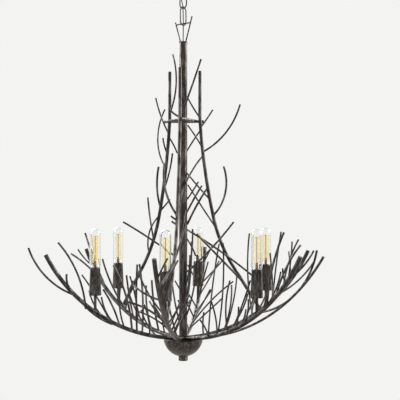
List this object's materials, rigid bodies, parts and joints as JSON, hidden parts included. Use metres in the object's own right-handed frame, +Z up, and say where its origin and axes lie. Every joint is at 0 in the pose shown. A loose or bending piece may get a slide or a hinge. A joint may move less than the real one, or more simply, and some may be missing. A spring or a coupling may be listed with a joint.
{
  "type": "tiered chandelier",
  "caption": "Twig chandelier: candle lamps on upswept arms round a slender stem with hanger rods, hung by a short chain from a domed ceiling canopy.",
  "frame": {"origin": "centre of the ceiling face: the top of the mounting strap, midway between its two box screw holes", "axes": "+Z up, +X along the first arm and along the two box screws, +Y ninety degrees from it"},
  "size_m": [0.7688, 0.6182, 0.957],
  "materials": {
    "dark_iron": "dark bronze, hand rubbed, with lighter worn edges",
    "worn_iron": "charcoal grey, satin, brushed lighter in places",
    "zinc_steel": "zinc plated, satin",
    "cord_jacket": "dark brown jacket, matt",
    "splice_cap": "moulded, matt",
    "socket_body": "dark phenolic, satin",
    "lamp_brass": "rolled brass",
    "lamp_glass": "clear glass",
    "lamp_mount": "brown glass and wire",
    "filament": "gold-coloured wire"
  },
  "bodies": {
    "ceiling_fitting": {"canopy": "dark_iron", "mounting_strap": "zinc_steel", "canopy_nipple": "zinc_steel", "strap_locknut": "zinc_steel", "screw_collar": "dark_iron", "canopy_loop": "dark_iron"},
    "top_link": {"chain_link_top": "dark_iron"},
    "middle_link": {"chain_link_middle": "dark_iron"},
    "bottom_link": {"chain_link_bottom": "dark_iron"},
    "fixture": {"supply_cord": "cord_jacket", "crown_rods": "dark_iron", "crown_bar": "dark_iron", "stem_cap": "worn_iron", "stem": "dark_iron", "hanger_rod_1": "dark_iron", "hanger_rod_2": "dark_iron", "hanger_rod_3": "dark_iron", "brace_bar_1": "dark_iron", "brace_bar_2": "dark_iron", "brace_bar_3": "dark_iron", "hanger_twigs_1": "dark_iron", "hanger_twigs_2": "dark_iron", "hanger_twigs_3": "dark_iron", "stem_twigs": "dark_iron", "arm_1": "dark_iron", "arm_2": "dark_iron", "arm_3": "dark_iron", "arm_4": "dark_iron", "arm_5": "dark_iron", "arm_6": "dark_iron", "arm_twigs_1": "dark_iron", "arm_twigs_2": "dark_iron", "arm_twigs_3": "dark_iron", "arm_twigs_4": "dark_iron", "arm_twigs_5": "dark_iron", "arm_twigs_6": "dark_iron", "hub_plate": "dark_iron", "hub_nipple": "zinc_steel", "hub_locknut": "zinc_steel", "hub_bowl": "worn_iron", "finial": "worn_iron", "wire_splices": "splice_cap", "candle_posts": "dark_iron", "candle_cup_1": "worn_iron", "candle_cup_2": "worn_iron", "candle_cup_3": "worn_iron", "candle_cup_4": "worn_iron", "candle_cup_5": "worn_iron", "candle_cup_6": "worn_iron", "lamp_sockets": "socket_body", "lamp_shells": "lamp_brass", "lamp_glasses": "lamp_glass", "lamp_mounts": "lamp_mount", "lamp_filaments": "filament"}
  },
  "joints": [
    {"name": "top_link_swing", "type": "hinge", "parent": "ceiling_fitting", "child": "top_link", "pos_m": [0, 0, -0.058], "axis": [1, 0, 0], "range_deg": [-25, 25], "deforming": ["supply_cord"]},
    {"name": "middle_link_swing", "type": "hinge", "parent": "top_link", "child": "middle_link", "pos_m": [0, 0, -0.0969], "axis": [0, 1, 0], "range_deg": [-25, 25], "deforming": ["supply_cord"]},
    {"name": "bottom_link_swing", "type": "hinge", "parent": "middle_link", "child": "bottom_link", "pos_m": [0, 0, -0.1362], "axis": [1, 0, 0], "range_deg": [-25, 25], "deforming": ["supply_cord"]},
    {"name": "fixture_swing", "type": "hinge", "parent": "bottom_link", "child": "fixture", "pos_m": [0, 0, -0.1755], "axis": [0, 1, 0], "range_deg": [-15, 15], "deforming": ["supply_cord"]}
  ]
}
